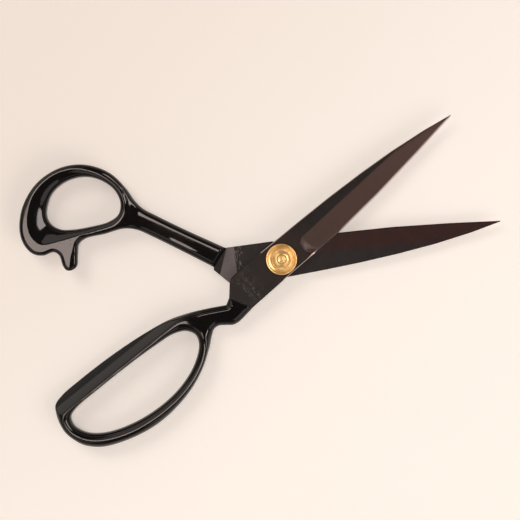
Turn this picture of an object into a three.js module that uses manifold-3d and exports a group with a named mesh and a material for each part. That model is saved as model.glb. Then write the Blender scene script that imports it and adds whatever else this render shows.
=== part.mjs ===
// Ten-inch dressmaker's shears lying open: two blades riding face to face on a pivot bolt, a long
// finger bow cast on the upper blade's tang, a thumb bow with a stop spur cast on the lower one, and
// a brass cup washer and nut. Millimetres. Origin: pivot axis, in the plane the shears lie on.
// +X: towards the tips, along the middle of the opening. +Z: up. Each half is drawn in its own
// frame, with its blade along +X, and turned by half the opening.
import * as THREE from 'three';
import { mergeVertices } from 'three/addons/utils/BufferGeometryUtils.js';
import Module from 'manifold-3d';

// ---- driving dimensions ----
const OPENING = THREE.MathUtils.degToRad(30.5); // between the two halves
const REACH = 115.7; // pivot axis to blade tip
const BLADE_THICKNESS = 4.3; // at the pivot
const TIP_THICKNESS = 1.7;
const EDGE_LAND = 0.4; // height left standing along the cutting edge
const SPINE_LAND = 0.15; // width left flat along the spine where the bevel runs out to it
const PLUNGE_START = 11; // where the hollow of the bevel begins, and where it is at full depth
const PLUNGE_END = 14.5;
const PLUNGE_DROP = 0.1; // how far the bevel has sunk where it begins
const HEAD_HEIGHT = 1.8;
const HEAD_RADIUS = 6.6;
const BOLT_RADIUS = 3;
const STEM_RADIUS = 2.3; // the bolt's threaded end
const STEM_CLEARANCE = 0.12; // around it, in the cup washer and the nut
const RUNNING_CLEARANCE = 0.09; // around the bolt
const SEAT_GAP = 0.2; // between faces that bear on each other
const CASTING_GAP = 0.3; // between a blade and the handle cast on it
const CUP_RADIUS = 8.05;
const CUP_HEIGHT = 2;
const NUT_HEIGHT = 3.1;
const NUT_CORNER_RADIUS = 5.45;
const NUT_TURN = THREE.MathUtils.degToRad(25);
const FINGER_BOW_TOP = 12;
const FINGER_ROUND = { width: 2.2, height: 3.4 }; // of the bow's edges, top and bottom
const CREST_HEIGHT = 11.6; // of the finger bow where its band begins to fall away
const BAND_SLOPE = THREE.MathUtils.degToRad(36);
const SPUR_CLEARANCE = 0.4; // between the closed spur and the band
const THUMB_BOW_TOP = 13;
const THUMB_ROUND = { width: 2.2, height: 3.2 };
// The funnel is a dish: its depth for each millimetre of its width, part falling evenly from its
// mouth and part late, by a power.
const DISH_EVEN = 0.12;
const DISH_LATE = 0.24;
const DISH_BEND = 1.7;
const SHANK_BOTTOM = 1.4; // of the thumb bow's shank
const SHANK_TOP = 11.6;
const SHANK_START = -71; // x where the shank meets the bow
const FOOT_LIFT = 0.3; // of a casting's end slope above the blade it meets
const TANG = { length: 15, width: 6, thickness: 2.8 };
const ROUND_SEGMENTS = 48;
const OUTLINE_POINTS = 104; // spaced along a handle's outside
const OPENING_POINTS = 60; // spaced round a handle's opening
const BEYOND = 400; // a block larger than the shears, for cutting along a plane

// ---- heights that follow ----
const LOWER_BOTTOM = HEAD_HEIGHT + SEAT_GAP;
const LOWER_TOP = LOWER_BOTTOM + BLADE_THICKNESS;
const UPPER_BOTTOM = LOWER_TOP + SEAT_GAP;
const UPPER_TOP = UPPER_BOTTOM + BLADE_THICKNESS;
const CUP_BOTTOM = UPPER_TOP + SEAT_GAP;
const CUP_FLOOR = CUP_BOTTOM + CUP_HEIGHT / 2;
const NUT_BOTTOM = CUP_FLOOR + SEAT_GAP;
const NUT_TOP = NUT_BOTTOM + NUT_HEIGHT;
const BOLT_TOP = NUT_TOP + 0.5;

// ---- outlines, each in its own half's frame ----
// Blade: the spine, the cutting edge and the line where the ground bevel meets the flat of the back.
const SPINE = [[-24, 9.8], [0, 9.6], [20, 9.3], [40, 8.7], [60, 7.6], [80, 5.9], [100, 3.2], [REACH, 0.2]];
const EDGE = [[0, -8.8], [32, -8.6], [60, -6.7], [90, -3.5], [REACH, -0.2]];
const BEVEL_LINE = [[0, 2.6], [20, 2.7], [40, 3.7], [60, 4.6], [80, 5.4], [REACH, 5.4]];

// Each blade behind the pivot, with its cutting edge towards -Y: the back from the spine round to the
// edge side, the shoulder that the handle is cast against, the heading of the tang and how far back
// the handle's top starts.
const UPPER = {
  back: [[-26.4, 9.4], [-28.6, 7.9], [-33.8, 2.2], [-28, -9.4]],
  shoulder: [[-33.8, 2.2], [-28, -9.4]],
  heading: THREE.MathUtils.degToRad(-8),
  setback: 2.6,
};
const LOWER = {
  back: [[-26.4, 9.4], [-28.9, 7.2], [-35.6, -0.6], [-35.3, -2.2], [-27.4, -11], [-3, -10.1]],
  shoulder: [[-35.3, -2.2], [-27.4, -11]],
  heading: THREE.MathUtils.degToRad(35),
  setback: 1.4,
};

// Finger bow: the outside from the upper end of the shoulder round to the lower end, and the opening.
const FINGER_OUTSIDE = [
  [-37.2, 0.6], [-45, 5.1], [-55, 10.2], [-65, 14.1], [-80, 17], [-100, 19.3], [-120, 20.3], [-133, 20.2],
  [-138.5, 18.7], [-141, 15.5], [-143.2, 10], [-144.1, 4], [-142.8, -2.5], [-140.5, -7.5], [-134, -14],
  [-122, -19.6], [-108, -23.1], [-95, -23.6], [-80, -21.3], [-68, -16.8], [-58, -10.6], [-53, -6.6],
  [-50, -4.9], [-47.3, -5.1], [-44, -7.4], [-41, -9.7], [-38, -10.4], [-28, -9.6],
];
const FINGER_OPENING = [
  [-137.8, 4.5], [-136.2, 8.6], [-132, 10.1], [-115, 10.2], [-95, 9.5], [-78, 8.2], [-68, 6.8], [-62, 3.8],
  [-59.5, -1], [-61.5, -6], [-70, -12.2], [-82, -16.2], [-96, -17.3], [-112, -15.2], [-126, -10.2],
  [-133.5, -4.8], [-136.7, 0],
];
const FINGER_END = [[-23.5, -9], [-28, 3], [-32, 3.4]]; // past the shoulder, where it is trimmed
// The crest between the finger bow's inside and the sloping band that the closed spur comes down on.
const CREST = [[-145, 12.6], [-60, 10.2]];

// Thumb bow: the outside, the opening and the mouth of the funnel that leads the thumb in.
const THUMB_OUTSIDE = [
  [-27.6, 11], [-45, 22.8], [-60, 33.6], [-66.5, 38.7], [-70, 43.6], [-73, 50], [-80, 59.5], [-90, 65.4],
  [-100, 67.1], [-110, 65.3], [-120, 59.6], [-128, 49.5], [-131.4, 38], [-130.2, 30], [-126.5, 24.9],
  [-121.5, 23.2], [-115.8, 24], [-113.3, 21.8], [-112.3, 16], [-110.8, 13.4], [-108.6, 12.7], [-106.2, 13.4],
  [-104.8, 15.3], [-103.6, 21], [-102.2, 25.8], [-98.5, 28.1], [-88, 28.8], [-78, 29.8], [-71.5, 28.1],
  [-64, 23.2], [-50, 13], [-35.6, 2.2],
];
const THUMB_END = [[-30, -1.6], [-23.5, 9]]; // past the shoulder, where it is trimmed
const THUMB_OPENING = [
  [-116.2, 44], [-115, 39], [-110.5, 35.3], [-104, 34], [-95, 33.9], [-85, 34.8], [-79.5, 37.6],
  [-77.4, 43.5], [-79.3, 50.3], [-84.5, 55.9], [-91, 59.2], [-98, 60], [-106, 58], [-112.5, 53],
];
const FUNNEL_MOUTH = [
  [-126.8, 41], [-125.6, 33.8], [-121.4, 29.2], [-112, 29.2], [-103, 30.2], [-91, 31.5], [-82, 33.2],
  [-76.4, 38.8], [-75.9, 47], [-80.4, 54.8], [-88.5, 61.2], [-99, 64.7], [-111, 62.6], [-121.5, 54.5],
];

const wasm = await Module();
wasm.setup();

const vec2 = ([x, y]) => new THREE.Vector2(x, y);

// ---- solids ----
// A closed three.js geometry as a manifold, with its shared corners merged and its collapsed faces dropped.
function solidOf(geometry) {
  const bare = geometry.clone();
  bare.deleteAttribute('normal');
  bare.deleteAttribute('uv');
  const merged = mergeVertices(bare, 1e-4);
  const faces = [];
  for (let i = 0; i < merged.index.count; i += 3) {
    const [a, b, c] = [0, 1, 2].map((k) => merged.index.getX(i + k));
    if (a !== b && b !== c && c !== a) faces.push(a, b, c);
  }
  const mesh = new wasm.Mesh({
    numProp: 3,
    vertProperties: merged.attributes.position.array,
    triVerts: Uint32Array.from(faces),
  });
  return new wasm.Manifold(mesh);
}

function geometryOf(solid) {
  const { vertProperties, triVerts } = solid.getMesh();
  const geometry = new THREE.BufferGeometry();
  geometry.setAttribute('position', new THREE.BufferAttribute(vertProperties, 3));
  geometry.setIndex(new THREE.BufferAttribute(triVerts, 1));
  geometry.computeVertexNormals();
  return geometry;
}

// A closed body through a row of rings with equal numbers of corners, each end closed by a fan.
function loft(rings) {
  const size = rings[0].length;
  const middles = [rings[0], rings.at(-1)].map((ring) =>
    ring.reduce((sum, p) => sum.add(p), new THREE.Vector3()).divideScalar(size));
  const points = [...rings.flat(), ...middles];
  const first = rings.length * size;
  const faces = [];
  for (let i = 0; i < size; i += 1) {
    const j = (i + 1) % size;
    for (let r = 0; r < rings.length - 1; r += 1) {
      const [a, b] = [r * size + i, r * size + j];
      faces.push(a, b, b + size, a, b + size, a + size);
    }
    const last = (rings.length - 1) * size;
    faces.push(first, j, i, first + 1, last + i, last + j);
  }
  const geometry = new THREE.BufferGeometry().setFromPoints(points);
  geometry.setIndex(faces);
  return geometry;
}

// ---- curves ----
const through = (points, closed) => new THREE.CatmullRomCurve3(
  points.map(([x, y]) => new THREE.Vector3(x, y, 0)), closed, 'centripetal');

function spaced(points, count, closed = false) {
  const found = through(points, closed).getSpacedPoints(count).map((p) => new THREE.Vector2(p.x, p.y));
  return closed ? found.slice(0, -1) : found;
}

// The height of a line of points at x, straight between them.
function heightAt(points, x) {
  const i = Math.max(1, points.findIndex(([px]) => px >= x));
  const [[x0, y0], [x1, y1]] = [points[i - 1], points[i]];
  return THREE.MathUtils.lerp(y0, y1, (x - x0) / (x1 - x0));
}

// An outline raised from z = bottom to z = top, with its edges rounded off by the given width and height.
function slab(outline, holes, bottom, top, roundWidth = 0, roundHeight = roundWidth) {
  const shape = new THREE.Shape(outline);
  shape.holes = holes.map((points) => new THREE.Path(points));
  const geometry = new THREE.ExtrudeGeometry(shape, {
    depth: top - bottom - 2 * roundHeight,
    bevelEnabled: roundWidth > 0,
    bevelThickness: roundHeight,
    bevelSize: roundWidth,
    bevelOffset: -roundWidth,
    bevelSegments: 3,
    steps: 1,
  });
  return geometry.translate(0, 0, bottom + roundHeight);
}

function cylinder(radius, bottom, top) {
  const geometry = new THREE.CylinderGeometry(radius, radius, top - bottom, ROUND_SEGMENTS);
  return geometry.rotateX(Math.PI / 2).translate(0, 0, (bottom + top) / 2);
}

// Everything on the far side of a plane: a block of the given size standing on it at the point.
function beyond(point, normal, size = BEYOND) {
  const upright = new THREE.Vector3(0, 0, 1);
  const turn = new THREE.Quaternion().setFromUnitVectors(upright, normal.clone().normalize());
  const block = new THREE.BoxGeometry(size, size, size).translate(0, 0, size / 2).applyQuaternion(turn);
  return solidOf(block.translate(point.x, point.y, point.z));
}

// ---- blades, flat face at z = 0 and the ground back above it, cutting edge towards -Y ----
function bladeBody() {
  const topAt = (x) => THREE.MathUtils.mapLinear(x, PLUNGE_END, REACH, BLADE_THICKNESS, TIP_THICKNESS);
  const section = (x, edgeHeight, top) => {
    const [edge, spine] = [heightAt(EDGE, x), heightAt(SPINE, x)];
    const bevel = Math.min(heightAt(BEVEL_LINE, x), spine - SPINE_LAND);
    return [[spine, 0], [spine, top], [bevel, top], [edge, edgeHeight], [edge, 0]]
      .map(([y, z]) => new THREE.Vector3(x, y, z));
  };
  const stations = [PLUNGE_END, 26, 40, 52, 64, 74, 80, 86, 93, 100, 107, 112, REACH];
  const plunge = section(PLUNGE_START, BLADE_THICKNESS - PLUNGE_DROP, BLADE_THICKNESS);
  return solidOf(loft([plunge, ...stations.map((x) => section(x, EDGE_LAND, topAt(x)))]));
}

// The tang runs from the middle of the shoulder into the handle; with a clearance it is the socket
// cast round it.
function tang({ shoulder, heading }, clearance = 0) {
  const [a, b] = shoulder.map(vec2);
  const middle = a.add(b).multiplyScalar(0.5);
  const [length, width, height] = [2 * TANG.length, TANG.width, TANG.thickness]
    .map((size) => size + 2 * clearance);
  const geometry = new THREE.BoxGeometry(length, width, height).rotateZ(heading);
  return solidOf(geometry.translate(middle.x, middle.y, BLADE_THICKNESS / 2));
}

// One blade: the body, the flat behind it out to the shoulder, the tang beyond the shoulder and the
// pivot bore.
function blade(half) {
  const overlap = PLUNGE_START + 0.5;
  const front = [EDGE, SPINE].map((line) => [overlap, heightAt(line, overlap)]);
  const outline = [...front, ...SPINE.slice(0, 2).reverse(), ...half.back];
  const flat = solidOf(slab(outline.map(vec2), [], 0, BLADE_THICKNESS));
  const bore = solidOf(cylinder(BOLT_RADIUS + RUNNING_CLEARANCE, -1, BLADE_THICKNESS + 1));
  return flat.add(bladeBody()).add(tang(half)).subtract(bore);
}

// ---- handles, in their half's frame turned the right way up ----
// Cuts a casting off along the shoulder, with an end face up to the foot and a slope from there back
// to the top.
function trimToShoulder(casting, [a, b], setback, top, foot) {
  const along = vec2(b).sub(vec2(a)).normalize();
  const out = new THREE.Vector3(-along.y, along.x, 0);
  if (out.x < 0) out.negate();
  const middle = vec2(a).add(vec2(b)).multiplyScalar(0.5);
  const face = new THREE.Vector3(middle.x, middle.y, foot).addScaledVector(out, -CASTING_GAP);
  const slope = out.clone().multiplyScalar(top - foot).setZ(setback);
  return casting.subtract(beyond(face, out)).subtract(beyond(face, slope));
}

const bandNormal = new THREE.Vector3(0, Math.sin(BAND_SLOPE), Math.cos(BAND_SLOPE));
const bandPoint = (x) => new THREE.Vector3(x, heightAt(CREST, x), CREST_HEIGHT);

// Everything inside a side view drawn as [x, z] points, right across the half.
function acrossHalf(points) {
  const side = new THREE.Shape(points.map(vec2));
  const geometry = new THREE.ExtrudeGeometry(side, { depth: BEYOND, bevelEnabled: false });
  return solidOf(geometry.rotateX(Math.PI / 2).translate(0, BEYOND / 2, 0));
}

function fingerBow() {
  const outline = [...spaced(FINGER_OUTSIDE, OUTLINE_POINTS), ...FINGER_END.map(vec2)];
  const opening = spaced(FINGER_OPENING, OPENING_POINTS, true);
  const { width, height } = FINGER_ROUND;
  const whole = solidOf(slab(outline, [opening], 0, FINGER_BOW_TOP, width, height));
  // The underside steps up to the upper blade's layer, so that the lower blade's corner passes below.
  const under = acrossHalf([[-54, -1], [-39, UPPER_BOTTOM], [-20, UPPER_BOTTOM], [-20, -1]]);
  return trimToShoulder(whole, UPPER.shoulder, UPPER.setback, FINGER_BOW_TOP, UPPER_TOP + FOOT_LIFT)
    .subtract(beyond(bandPoint(-100), bandNormal))
    .subtract(under);
}

function thumbBow() {
  const outline = [...THUMB_END.map(vec2), ...spaced(THUMB_OUTSIDE, OUTLINE_POINTS)];
  const opening = spaced(THUMB_OPENING, OPENING_POINTS, true);
  const { width, height } = THUMB_ROUND;
  // The shank is thinner than the bow, lifts off the table, and runs a little way into the bow.
  const towardsBlade = new THREE.Vector3(0.83, -0.56, 0);
  const bowEnd = new THREE.Vector3(SHANK_START + 0.5, 36, 0);
  const shankEnd = new THREE.Vector3(SHANK_START - 0.5, 36, 0);
  const bow = solidOf(slab(outline, [opening], 0, THUMB_BOW_TOP, width, height))
    .subtract(beyond(bowEnd, towardsBlade));
  const shank = solidOf(slab(outline, [], SHANK_BOTTOM, SHANK_TOP, width, height))
    .subtract(beyond(shankEnd, towardsBlade.clone().negate()));
  const mouth = spaced(FUNNEL_MOUTH, OPENING_POINTS, true);
  const dishRing = (t, lift = 0) => opening.map((p, i) => {
    const { x, y } = p.clone().lerp(mouth[i], t);
    const depth = DISH_EVEN * (1 - t) + DISH_LATE * (1 - t) ** DISH_BEND;
    return new THREE.Vector3(x, y, THUMB_BOW_TOP - depth * p.distanceTo(mouth[i]) + lift);
  });
  const dish = solidOf(loft([0, 0.25, 0.5, 0.75, 1].map((t) => dishRing(t)).concat([dishRing(1, 1)])));
  // Closed, the spur comes down on the finger bow's sloping band, so its underside follows that slope.
  const seat = bandPoint(-108).addScaledVector(bandNormal, SPUR_CLEARANCE);
  const spurSeat = beyond(seat, bandNormal.clone().negate(), 36);
  const whole = bow.add(shank).subtract(dish).subtract(spurSeat);
  const shoulder = LOWER.shoulder.map(([x, y]) => [x, -y]);
  return trimToShoulder(whole, shoulder, LOWER.setback, SHANK_TOP, LOWER_TOP + FOOT_LIFT);
}

// ---- pivot: profiles as [radius, height] points ----
function lathe(profile, bottom = 0) {
  const points = profile.map(([radius, height]) => new THREE.Vector2(radius, bottom + height));
  return new THREE.LatheGeometry(points, ROUND_SEGMENTS).rotateX(Math.PI / 2);
}

function bolt() {
  return lathe([
    [0, 0], [HEAD_RADIUS - 0.8, 0], [HEAD_RADIUS, 0.7], [HEAD_RADIUS, HEAD_HEIGHT],
    [BOLT_RADIUS, HEAD_HEIGHT], [BOLT_RADIUS, UPPER_TOP - 0.4], [STEM_RADIUS, UPPER_TOP - 0.1],
    [STEM_RADIUS, BOLT_TOP - 0.6], [STEM_RADIUS * 0.75, BOLT_TOP - 0.15], [0, BOLT_TOP],
  ]);
}

function cupWasher() {
  const hole = STEM_RADIUS + STEM_CLEARANCE;
  return lathe([
    [hole, 0], [6.4, 0], [7.6, 0.6], [CUP_RADIUS, 1.3], [CUP_RADIUS - 0.05, CUP_HEIGHT - 0.2],
    [CUP_RADIUS - 0.35, CUP_HEIGHT], [CUP_RADIUS - 0.7, CUP_HEIGHT - 0.1], [6.4, 1.35],
    [5.4, CUP_HEIGHT / 2], [hole, CUP_HEIGHT / 2], [hole, 0],
  ], CUP_BOTTOM);
}

function nut() {
  const hexagon = new THREE.CylinderGeometry(NUT_CORNER_RADIUS, NUT_CORNER_RADIUS, NUT_HEIGHT, 6)
    .rotateX(Math.PI / 2).rotateZ(NUT_TURN).translate(0, 0, NUT_BOTTOM + NUT_HEIGHT / 2);
  const dome = lathe([
    [0, 0], [NUT_CORNER_RADIUS, 0], [NUT_CORNER_RADIUS, 0.6], [5.1, 1.5], [4.4, 2.3], [3.6, 2.8],
    [2.9, NUT_HEIGHT], [0, NUT_HEIGHT],
  ], NUT_BOTTOM);
  const hole = cylinder(STEM_RADIUS + STEM_CLEARANCE, NUT_BOTTOM - 1, NUT_TOP + 1);
  return geometryOf(solidOf(hexagon).intersect(solidOf(dome)).subtract(solidOf(hole)));
}

// ---- assembly ----
const blackSteel = { color: 0x2b2220, roughness: 0.38, metalness: 0.85 };
const lacquer = { color: 0x0b0b0c, roughness: 0.12, metalness: 0.1 };
const brass = { color: 0xd9a75a, roughness: 0.28, metalness: 1 };

function piece(name, geometry, look) {
  const mesh = new THREE.Mesh(geometry, new THREE.MeshStandardMaterial(look));
  mesh.name = name;
  return mesh;
}

const shears = new THREE.Group();

const upperHalf = new THREE.Group();
upperHalf.rotation.z = OPENING / 2;
const upperBlade = piece('upper_blade', geometryOf(blade(UPPER)), blackSteel);
upperBlade.position.z = UPPER_BOTTOM;
const upperSocket = tang(UPPER, CASTING_GAP).translate([0, 0, UPPER_BOTTOM]);
upperHalf.add(upperBlade, piece('finger_bow', geometryOf(fingerBow().subtract(upperSocket)), lacquer));

const lowerHalf = new THREE.Group();
lowerHalf.rotation.z = -OPENING / 2;
const lowerBlade = piece('lower_blade', geometryOf(blade(LOWER)), blackSteel);
lowerBlade.rotation.x = Math.PI;
lowerBlade.position.z = LOWER_TOP;
const lowerSocket = tang(LOWER, CASTING_GAP).rotate([180, 0, 0]).translate([0, 0, LOWER_TOP]);
lowerHalf.add(lowerBlade, piece('thumb_bow', geometryOf(thumbBow().subtract(lowerSocket)), lacquer));

shears.add(upperHalf, lowerHalf);
shears.add(piece('pivot_bolt', bolt(), brass));
shears.add(piece('cup_washer', cupWasher(), brass));
shears.add(piece('pivot_nut', nut(), brass));

export default shears;
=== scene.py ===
"""Fabric shears lying open: the looks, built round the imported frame.

Lengths are in millimetres until a mesh is made, and each half is drawn in its own frame: pivot axis
at the origin, blade along +X, cutting edge towards -Y. The lower half's blade is drawn like the
upper one and turned over. The halves are turned by half the opening each, as in the frame.
"""

import math

import bpy
import numpy as np
from mathutils import Matrix, Vector
from mathutils.kdtree import KDTree


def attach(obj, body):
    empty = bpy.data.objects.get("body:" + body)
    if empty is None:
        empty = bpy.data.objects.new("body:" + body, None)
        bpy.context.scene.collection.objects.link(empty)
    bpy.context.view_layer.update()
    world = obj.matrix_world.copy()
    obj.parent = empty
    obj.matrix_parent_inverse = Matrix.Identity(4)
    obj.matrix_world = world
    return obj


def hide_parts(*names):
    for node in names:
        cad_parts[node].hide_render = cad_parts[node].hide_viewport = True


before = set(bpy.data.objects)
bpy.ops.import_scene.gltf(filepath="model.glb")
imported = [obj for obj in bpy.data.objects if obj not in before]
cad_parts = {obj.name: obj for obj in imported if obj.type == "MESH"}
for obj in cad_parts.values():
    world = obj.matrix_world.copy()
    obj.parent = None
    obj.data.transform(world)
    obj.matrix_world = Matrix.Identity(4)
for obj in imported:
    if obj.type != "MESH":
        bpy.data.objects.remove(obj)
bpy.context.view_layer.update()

MM = 0.001
HALF_OPENING = math.radians(15.25)

# ---- heights of the stack on the pivot, as in the frame ----
HEAD_HEIGHT = 1.8
BLADE_THICKNESS = 4.3
TIP_THICKNESS = 1.7
CUP_FLOOR = 1.0
SEAT_GAP = 0.2  # between faces that bear on each other
LOWER_TOP = HEAD_HEIGHT + SEAT_GAP + BLADE_THICKNESS
UPPER_BOTTOM = LOWER_TOP + SEAT_GAP
UPPER_TOP = UPPER_BOTTOM + BLADE_THICKNESS
CUP_BOTTOM = UPPER_TOP + SEAT_GAP
NUT_BOTTOM = CUP_BOTTOM + CUP_FLOOR + SEAT_GAP

# ---- blade: outlines of (x, y), edge side down ----
REACH = 115.7
TAPER_FROM = 14  # x where the blade starts to thin towards its tip
SPINE = [(-24, 9.8), (0, 9.6), (20, 9.3), (40, 8.7), (60, 7.6), (80, 5.9), (100, 3.2), (REACH, 0.2)]
EDGE = [(0, -8.8), (32, -8.6), (60, -6.7), (90, -3.5), (REACH, -0.2)]
BEVEL_LINE = [(0, 2.6), (20, 2.7), (40, 3.7), (60, 4.6), (80, 5.4), (REACH, 5.4)]
BEVEL_SHARE = 0.96  # the most of the blade's width that the bevel takes
BEVEL_POINTS = 13  # across the bevel
EDGE_LAND = 0.3  # height of the cutting edge's upright face
HONED_WIDTH = 0.7  # of the bright facet along the cutting edge
HONED_SHARE = 0.4  # the most of the bevel's width that it takes
HONED_START = (10, 14)  # x over which it widens from the broken corner
HONED_TOP = [(12, 2.5), (60, 1.9), (REACH, 0.9)]  # height where it meets the bevel
BREAK = 0.35  # width of the broken corners
BREAK_SHARE = 0.2  # the most of the blade's width that one takes
WORN_FROM = -7  # x forwards of which the corners along spine and edge are worn bright
# Where the bevel's hollow begins, from the edge to the spine: (distance from the edge, x).
PLUNGE = [(0, 14.2), (2.2, 12.6), (3.8, 11.6), (8.6, 11.6), (10.4, 12.2), (11.6, 13.8)]
PLUNGE_LENGTH = 5
REAR_GAP = 0.02  # of the first ring from the blade's rear corner
REAR_RINGS = (-24, 14)  # the rings behind the pivot: last x, and how many
# The rings forwards of those, closest along the plunge: first x, last x, and how many.
RINGS = [(-22, 10, 9), (11, 18, 29), (20, REACH - 4, 47), (REACH - 3, REACH, 7)]
BORE_RADIUS = 3.09
BORE_SPAN = (-1, 20)  # heights below and above both blades
BORE_SEGMENTS = 96
BLADE_CREASE = 14  # degrees between faces above which the shading is sharp
# The blade behind the pivot: its spine side and its edge side, from the rear corner forwards.
UPPER_REAR = {
    "spine": [(-33.8, 2.2), (-28.6, 7.9), (-26.4, 9.4)],
    "edge": [(-33.8, 2.2), (-28, -9.4)],
}
LOWER_REAR = {
    "spine": [(-35.6, -0.6), (-28.9, 7.2), (-26.4, 9.4)],
    "edge": [(-35.6, -0.6), (-35.3, -2.2), (-27.4, -11), (-3, -10.1)],
}

# ---- finger bow ----
FINGER_OUTSIDE = [
    (-37.2, 0.6), (-45, 5.1), (-55, 10.2), (-65, 14.1), (-80, 17), (-100, 19.3), (-120, 20.3),
    (-133, 20.2), (-138.5, 18.7), (-141, 15.5), (-143.2, 10), (-144.1, 4), (-142.8, -2.5),
    (-140.5, -7.5), (-134, -14), (-122, -19.6), (-108, -23.1), (-95, -23.6), (-80, -21.3),
    (-68, -16.8), (-58, -10.6), (-53, -6.6), (-50, -4.9), (-47.3, -5.1), (-44, -7.4), (-41, -9.7),
    (-38, -10.4), (-28, -9.6),
]
FINGER_END = [(-23.5, -9), (-28, 3), (-32, 3.4)]
FINGER_OPENING = [
    (-137.8, 4.5), (-136.2, 8.6), (-132, 10.1), (-115, 10.2), (-95, 9.5), (-78, 8.2), (-68, 6.8),
    (-62, 3.8), (-59.5, -1), (-61.5, -6), (-70, -12.2), (-82, -16.2), (-96, -17.3), (-112, -15.2),
    (-126, -10.2), (-133.5, -4.8), (-136.7, 0),
]
# The line that the bow is highest along, all round its opening.
FINGER_RIDGE = [
    (-141.4, 4.5), (-140.6, 9), (-137, 11.3), (-120, 10.9), (-105, 10.5), (-85, 9.9), (-70, 9.4),
    (-61, 8.2), (-56.8, 5), (-55.6, -1), (-57.5, -6), (-63, -11.8), (-71, -16.4), (-82, -19.6),
    (-95, -20.7), (-110, -19.4), (-122, -16.4), (-132, -11.2), (-138.5, -5), (-141, 0.5),
]
CREST = [(-145, 13.25), (-60, 10.85)]  # where the outer band begins to fall away
CREST_HEIGHT = 11.6
BAND_SLOPE = math.radians(36)
BAND_CROWN = 0.01  # curvature across the band
BAND_ROUND = 0.25  # of the crease where the band leaves the crest
FINGER_TOP = 12
FINGER_FALL = 0.14  # slope of the top outside the ridge
FINGER_SHOULDER = ((-33.8, 2.2), (-28, -9.4))
FINGER_SETBACK = 2.6  # of the end slope's top from the shoulder
FINGER_BOX = ((-145, -25, 0), (-22, 21, FINGER_TOP))
# Edges are rounded to quarter ellipses of (width, height). A pair of widths is the least and the most.
FINGER_OUTER_WIDTHS = (0.8, 3.1)
FINGER_INNER_WIDTH = 3.8
FINGER_EDGE_HEIGHT = 4.8
FINGER_UNDER_OUTER = (2.8, 4)
FINGER_UNDER_INNER = (2.4, 4)

# ---- the arm from the finger bow to the blade ----
ARM = (-60, -48)  # x over which the bow passes into the arm
ARM_EDGE = (-37.2, 0.6)  # a point on its upper edge
ARM_ACROSS = (0.43, 0.90)  # from the lower edge to the upper one
ARM_DROP = 0.3  # of its top below the bow's
ARM_LAND = 1  # width left level along the upper edge
ARM_LAND_ROUND = 0.15
ARM_FALL = 0.12  # slope of its top inside that
ARM_ROUND = (3.4, 3)
STEP_X = -39  # where the underside begins to rise to the upper blade's layer
STEP_SLOPE = 0.5
STEP_SCALE = 0.9  # about the cosine of that slope, which keeps the field a distance
STEP_ROUND = 0.6

# ---- thumb bow ----
THUMB_OUTSIDE = [
    (-27.6, 11), (-45, 22.8), (-60, 33.6), (-66.5, 38.7), (-70, 43.6), (-73, 50), (-80, 59.5),
    (-90, 65.4), (-100, 67.1), (-110, 65.3), (-120, 59.6), (-128, 49.5), (-131.4, 38), (-130.2, 30),
    (-126.5, 24.9), (-121.5, 23.2), (-115.8, 24), (-113.3, 21.8), (-112.3, 16), (-110.8, 13.4),
    (-108.6, 12.7), (-106.2, 13.4), (-104.8, 15.3), (-103.6, 21), (-102.2, 25.8), (-98.5, 28.1),
    (-88, 28.8), (-78, 29.8), (-71.5, 28.1), (-64, 23.2), (-50, 13), (-35.6, 2.2),
]
THUMB_END = [(-30, -1.6), (-23.5, 9)]
THUMB_OPENING = [
    (-116.2, 44), (-115, 39), (-110.5, 35.3), (-104, 34), (-95, 33.9), (-85, 34.8), (-79.5, 37.6),
    (-77.4, 43.5), (-79.3, 50.3), (-84.5, 55.9), (-91, 59.2), (-98, 60), (-106, 58), (-112.5, 53),
]
FUNNEL_MOUTH = [
    (-126.8, 41), (-125.6, 33.8), (-121.4, 29.2), (-112, 29.2), (-103, 30.2), (-91, 31.5),
    (-82, 33.2), (-76.4, 38.8), (-75.9, 47), (-80.4, 54.8), (-88.5, 61.2), (-99, 64.7),
    (-111, 62.6), (-121.5, 54.5),
]
THUMB_TOP = 13
THUMB_FALL = 0.12  # slope of the top outside the ridge, towards the shank
THUMB_FALL_X = (-100, -90)  # x over which that slope sets in
THUMB_SHOULDER = ((-35.3, 2.2), (-27.4, 11))
THUMB_SETBACK = 1.4
THUMB_BOX = ((-132, -3, 0), (-22, 68, THUMB_TOP))
THUMB_OUTER_LANDS = 1.4  # level outside the ridge, in ridge lands
THUMB_OUTER_WIDTHS = (0.8, 1.9)
THUMB_OUTER_HEIGHT = 2.6
THUMB_INNER_SHARE = 0.5  # of the rim's width that its inner rounding takes
THUMB_INNER_WIDTHS = (1.2, 2.4)
THUMB_INNER_HEIGHT = 2.8
THUMB_UNDER_OUTER = (2.4, 3.2)
THUMB_UNDER_INNER = (1.6, 2.2)
RIDGE_LAND = 0.65  # width of the level top of the ridge round each opening
LAND_ROUND = 0.5  # of the crease where the top leaves that land
DISH_START = 0.12  # slope of the dish where it leaves the funnel's mouth
DISH_FALL = 0.24  # further depth of the dish over its width
DISH_BEND = 1.7  # how late that depth comes
# Beside the mouth's end towards the shank the ridge is doubled: a groove, and a fold beyond it.
SECOND_RIDGE = 2.2  # distance of the fold beyond the mouth
DOUBLED_X = (-88, -80)  # x and y over which the doubling sets in
DOUBLED_Y = (38, 44)
GROOVE_DEPTH = 0.2
GROOVE_PLACE = 1.3  # beyond the mouth
GROOVE_WIDTH = 0.45

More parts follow.
